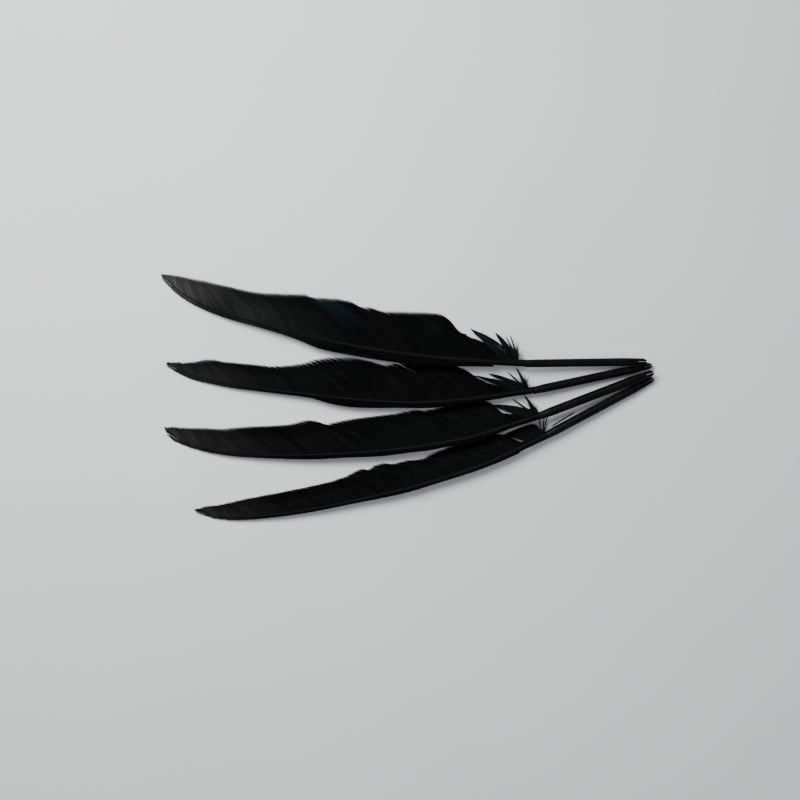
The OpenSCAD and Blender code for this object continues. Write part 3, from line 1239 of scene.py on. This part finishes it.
@dataclass
class Pen:
    """One quill pen: a CAD barrel with its caps and pith, and the finer pieces on them."""

    number: int
    ragged: float
    broad_splits: Splits
    webs: tuple[float, float]
    fluff: int
    strands: Strands
    barb_finish: BarbFinish
    loose_finish: BarbFinish

    def build(self, blade: Blade) -> None:
        """Builds, dresses and fixes every piece of the pen.

        Args:
            blade: The modelled barb blade.
        """
        axes = PenAxes.of_pen(self.number)
        shaft = Shaft(self.number, axes).build()
        broad = Vane(
            self.number, axes, Side.BROAD, self.node("trailing_vane"), math.radians(47), math.radians(29),
            0.5 * MM, self.ragged, self.broad_splits, 10 + self.number,
        ).build(blade)
        narrow = Vane(
            self.number, axes, Side.NARROW, self.node("leading_vane"), math.radians(24), math.radians(17),
            0.6 * MM, 0.3 * MM, (), 20 + self.number, overhang=0.2 * MM,
        ).build(blade)
        edge = VaneSurvey.of_node(self.node("trailing_vane"), axes, Side.BROAD)
        loose = LooseBarbs(
            self.number, axes, edge, *self.webs, self.fluff, self.strands, 30 + self.number
        ).build(blade)
        self.dress(axes, shaft, broad, narrow, loose)
        for piece, nodes, slot in (
            (shaft, "shaft", Slot.SHAFT),
            (broad, "trailing_vane", Slot.VANE),
            (narrow, "leading_vane", Slot.VANE),
            (loose, "down_tufts", Slot.LOOSE),
        ):
            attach(piece, f"quill_{self.number}")
            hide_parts(self.node(nodes))
            log.info("%s: %d faces", piece.name, len(piece.data.polygons))

    def node(self, piece: str) -> str:
        """Name of one of the pen's CAD nodes."""
        return f"quill_{self.number}_{piece}"

    def dress(self, axes: PenAxes, shaft: Any, broad: Any, narrow: Any, loose: Any) -> None:
        """Gives every piece its finish.

        Args:
            axes: The pen's axes.
            shaft: The shaft piece.
            broad: The broad vane.
            narrow: The narrow vane.
            loose: The loose barbs.
        """
        turn = axes.matrix().to_euler()
        barrel_horn = HornFinish(f"barrel_horn_{self.number}").material(turn)
        shaft_horn = HornFinish(
            f"shaft_horn_{self.number}", (0.0004, 0.0004, 0.0005), (0.0018, 0.0018, 0.0021), 0.6, 0.0
        ).material(turn)
        vane_barbs = self.barb_finish.material()
        for piece, made in (
            (frame["nodes"][self.node("barrel")], barrel_horn),
            (frame["nodes"][self.node("pulp_caps")], MembraneFinish(f"membrane_{self.number}").material()),
            (frame["nodes"][self.node("pith")], PithFinish(f"pith_{self.number}").material()),
            (shaft, shaft_horn),
            (broad, vane_barbs),
            (narrow, vane_barbs),
            (loose, self.loose_finish.material()),
        ):
            piece.data.materials.clear()
            piece.data.materials.append(made)


# ---------------------------------------------------------------- the studio


@dataclass(frozen=True)
class Studio:
    """Plain pale floor, soft light from the feathers' far side, and the camera above."""

    floor_side: float = 2.4
    camera_height: float = 0.95
    field_width: float = 0.496
    centre: tuple[float, float] = (-0.0040, -0.0015)
    air: tuple[float, float, float, float] = (0.84, 0.86, 0.88, 1)
    air_strength: float = 0.58

    def build(self) -> None:
        """Makes the floor, the lights and the camera."""
        clear_selection()
        bpy.ops.mesh.primitive_plane_add(size=self.floor_side, location=(0, 0, 0))
        floor = bpy.context.active_object
        floor.name = "floor"
        bpy.ops.object.mode_set(mode="EDIT")
        bpy.ops.mesh.subdivide(number_cuts=7)
        bpy.ops.object.mode_set(mode="OBJECT")
        floor.data.materials.append(PaperFinish().material())
        self._light("window", (-0.30, 0.36, 0.66), 0.42, 11.2, (1.0, 1.0, 0.985))
        self._light("fill", (0.5, -0.4, 1.1), 1.2, 0.8, (1.0, 0.99, 0.97))
        world = bpy.data.worlds.new("studio_air")
        world.use_nodes = True
        world.node_tree.nodes["Background"].inputs["Color"].default_value = self.air
        world.node_tree.nodes["Background"].inputs["Strength"].default_value = self.air_strength
        bpy.context.scene.world = world
        self._camera()

    def _light(
        self, name: str, place: tuple[float, float, float], side: float, power: float, tint: Colour
    ) -> None:
        """Adds one soft square light that faces the pens.

        Args:
            name: Name of the light.
            place: Where it stands.
            side: Side of the square.
            power: Power in watts.
            tint: Its colour.
        """
        bpy.ops.object.light_add(type="AREA", location=place)
        light = bpy.context.active_object
        light.name = name
        light.data.shape = "SQUARE"
        light.data.size = side
        light.data.energy = power
        light.data.color = tint
        light.rotation_euler = (-Vector(place)).to_track_quat("-Z", "Y").to_euler()

    def _camera(self) -> None:
        """Adds the camera, looking straight down at the middle of the fan."""
        bpy.ops.object.camera_add(location=(*self.centre, self.camera_height), rotation=(0, 0, 0))
        camera = bpy.context.active_object
        camera.data.sensor_width = 36
        camera.data.lens = 36 * self.camera_height / self.field_width
        camera.data.clip_start, camera.data.clip_end = 0.05, 10
        bpy.context.scene.camera = camera


# ---------------------------------------------------------------- all of it

PENS = (
    Pen(
        1, 0.9 * MM, ((0.165, 0.15 * MM), (0.179, 0.15 * MM), (0.209, 0.2 * MM)),
        (11.5 * MM, 9 * MM), 40,
        ((80.3, 3.0, 78.7, 12.8, 0.6, 0.2), (79.6, 3.0, 79.0, 11.5, 0.9, 0.15)),
        BarbFinish("vane_barbs_1", blue_sheen_at=0.170, tip_sheen_from=0.18, tip_sheen_to=0.335),
        BarbFinish("loose_barbs_1", sheen=0.06, tip_sheen_from=0.0, tip_sheen_to=0.4, blue_sheen_at=0.082, blue_sheen_reach=9 * MM),
    ),
    Pen(
        2, 1.5 * MM, ((0.148, 0.5 * MM), (0.154, 0.9 * MM)),
        (4.4 * MM, 5 * MM), 26,
        ((78.6, 2.6, 76.0, 9.8, 0.5, 0.2),),
        BarbFinish("vane_barbs_2", blue_sheen_at=0.268, blue_sheen_share=0.12),
        BarbFinish("loose_barbs_2", sheen=0.05, tip_sheen_from=0.0, tip_sheen_to=0.5, blue_sheen_at=0.079, blue_sheen_reach=5 * MM),
    ),
    Pen(
        3, 1.1 * MM, ((0.145, 0.2 * MM), (0.203, 0.3 * MM)),
        (4 * MM, 5 * MM), 12,
        ((77.0, 3.0, 82.6, 13.5, 0.5, 0.2),),
        BarbFinish("vane_barbs_3"), BarbFinish("loose_barbs_3", sheen=0.05, tip_sheen_from=0.0, tip_sheen_to=0.5),
    ),
    Pen(
        4, 1.2 * MM, ((0.122, 0.7 * MM), (0.176, 0.15 * MM), (0.184, 0.3 * MM)),
        (1 * MM, 1 * MM), 4,
        ((69.4, 3.0, 52.4, 4.2, 0.4, 0.5), (71.5, 3.0, 60.0, 3.9, 0.6, 0.35)),
        BarbFinish("vane_barbs_4"), BarbFinish("loose_barbs_4", sheen=0.05, tip_sheen_from=0.0, tip_sheen_to=0.5),
    ),
)


def main() -> None:
    """Builds the pens and the studio round the frame."""
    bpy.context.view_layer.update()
    blade = BarbBlade().model()
    for pen in PENS:
        pen.build(blade)
        log.info("quill %d built", pen.number)
    Studio().build()
    log.info("studio built")


if __name__ == "__main__":
    main()
